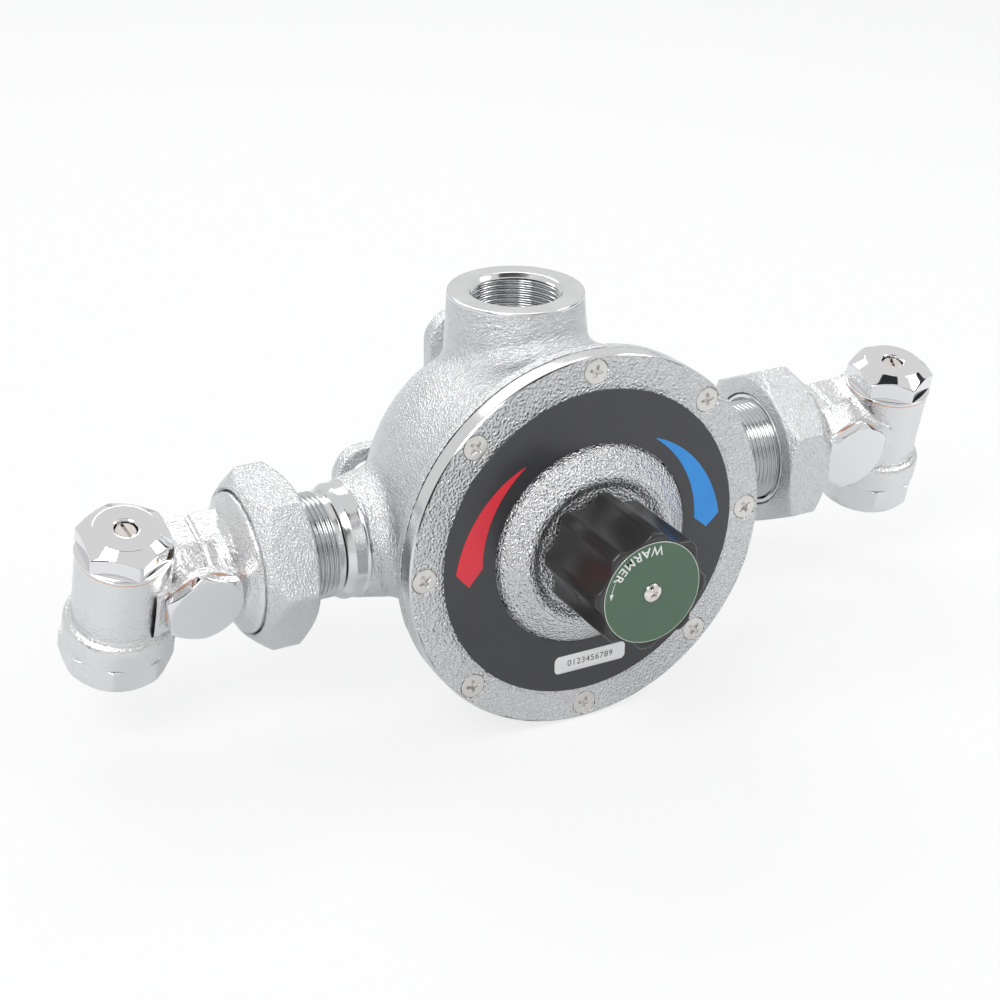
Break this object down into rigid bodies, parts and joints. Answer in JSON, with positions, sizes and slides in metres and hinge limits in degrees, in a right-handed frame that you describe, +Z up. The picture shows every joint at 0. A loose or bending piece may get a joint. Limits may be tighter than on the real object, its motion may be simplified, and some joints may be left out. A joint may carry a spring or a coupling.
{
  "type": "thermostatic mixing valve",
  "caption": "Water mixing valve with a fluted knob on a round screwed cover, two swivel stops with strainers on union nuts, a threaded top outlet and wall lugs.",
  "frame": {"origin": "where the knob's centre line meets the wall plane behind the valve", "axes": "+Z up through the outlet, +Y into the wall, +X toward the cold inlet; the knob faces -Y"},
  "size_m": [0.4435, 0.185, 0.18],
  "materials": {
    "cast_chrome": "plated over sand casting, fine grain",
    "machined_chrome": "plated over turned faces",
    "bright_chrome": "polished plating",
    "face_chrome": "plated over coarse casting",
    "steel": "plain stainless",
    "spring_steel": "drawn wire",
    "bronze": "machined bronze",
    "bimetal": "rolled strip",
    "dial": "printed plate",
    "knob": "moulded",
    "disc": "printed disc",
    "fibre": "fibre",
    "copper": "soft copper",
    "packing": "moulded",
    "gasket": "sheet"
  },
  "bodies": {
    "valve": {"body": "cast_chrome", "cover": "face_chrome", "cover_gasket": "gasket", "cover_screws": "steel", "dial_plate": "dial", "packing_nut": "bronze", "spindle_packing": "packing", "port_sleeve": "bronze", "left_union_tail": "machined_chrome", "left_union_nut": "cast_chrome", "right_union_tail": "machined_chrome", "right_union_nut": "cast_chrome"},
    "knob_set": {"knob": "knob", "knob_set_screw": "steel", "knob_disc": "disc", "knob_screw": "steel", "spindle": "bronze", "bimetal_coil": "bimetal"},
    "rotor": {"port_rotor": "bronze"},
    "left_stop": {"left_stop_body": "bright_chrome", "left_union_washer": "fibre", "left_cap_washer": "copper", "left_stop_cap": "bright_chrome", "left_plug_washer": "copper", "left_strainer_plug": "bright_chrome", "left_strainer_screen": "steel", "left_check_cage": "bronze", "left_check_spring": "spring_steel"},
    "left_stem": {"left_stop_stem": "bronze"},
    "left_disc": {"left_stop_disc": "bronze"},
    "left_check": {"left_check_poppet": "packing"},
    "right_stop": {"right_stop_body": "bright_chrome", "right_union_washer": "fibre", "right_cap_washer": "copper", "right_stop_cap": "bright_chrome", "right_plug_washer": "copper", "right_strainer_plug": "bright_chrome", "right_strainer_screen": "steel", "right_check_cage": "bronze", "right_check_spring": "spring_steel"},
    "right_stem": {"right_stop_stem": "bronze"},
    "right_disc": {"right_stop_disc": "bronze"},
    "right_check": {"right_check_poppet": "packing"}
  },
  "joints": [
    {"name": "knob_turn", "type": "hinge", "parent": "valve", "child": "knob_set", "pos_m": [0, -0.141, 0], "axis": [0, -1, 0], "range_deg": [-135, 135]},
    {"name": "rotor_bend", "type": "hinge", "parent": "knob_set", "child": "rotor", "pos_m": [0, -0.061, 0], "axis": [0, -1, 0], "range_deg": [-20, 20], "stiffness_Nm_per_rad": 1.2},
    {"name": "left_stop_swivel", "type": "hinge", "parent": "valve", "child": "left_stop", "pos_m": [-0.1885, -0.061, -0.0105], "axis": [1, 0, 0], "range_deg": [-90, 90]},
    {"name": "left_disc_slide", "type": "slide", "parent": "left_stop", "child": "left_disc", "axis": [0, -0.319, 0.9478], "range_m": [-0.006, 0]},
    {"name": "left_stem_turn", "type": "hinge", "parent": "left_stop", "child": "left_stem", "pos_m": [-0.1885, -0.061, -0.0105], "axis": [0, -0.319, 0.9478], "range_deg": [-1080, 0]},
    {"name": "left_check_slide", "type": "slide", "parent": "left_stop", "child": "left_check", "axis": [1, 0, 0], "range_m": [0, 0.003], "stiffness_N_per_m": 250, "springref_m": -0.001, "deforming": ["left_check_spring"]},
    {"name": "right_stop_swivel", "type": "hinge", "parent": "valve", "child": "right_stop", "pos_m": [0.2074, -0.061, -0.0105], "axis": [1, 0, 0], "range_deg": [-90, 90]},
    {"name": "right_disc_slide", "type": "slide", "parent": "right_stop", "child": "right_disc", "axis": [0, -0.2079, 0.9781], "range_m": [-0.006, 0]},
    {"name": "right_stem_turn", "type": "hinge", "parent": "right_stop", "child": "right_stem", "pos_m": [0.2074, -0.061, -0.0105], "axis": [0, -0.2079, 0.9781], "range_deg": [-1080, 0]},
    {"name": "right_check_slide", "type": "slide", "parent": "right_stop", "child": "right_check", "axis": [-1, 0, 0], "range_m": [0, 0.003], "stiffness_N_per_m": 250, "springref_m": -0.001, "deforming": ["right_check_spring"]}
  ],
  "couplings": [
    {"joint": "left_stem_turn", "follows": "left_disc_slide", "rad_per_m": 3141.6},
    {"joint": "right_stem_turn", "follows": "right_disc_slide", "rad_per_m": 3141.6}
  ]
}
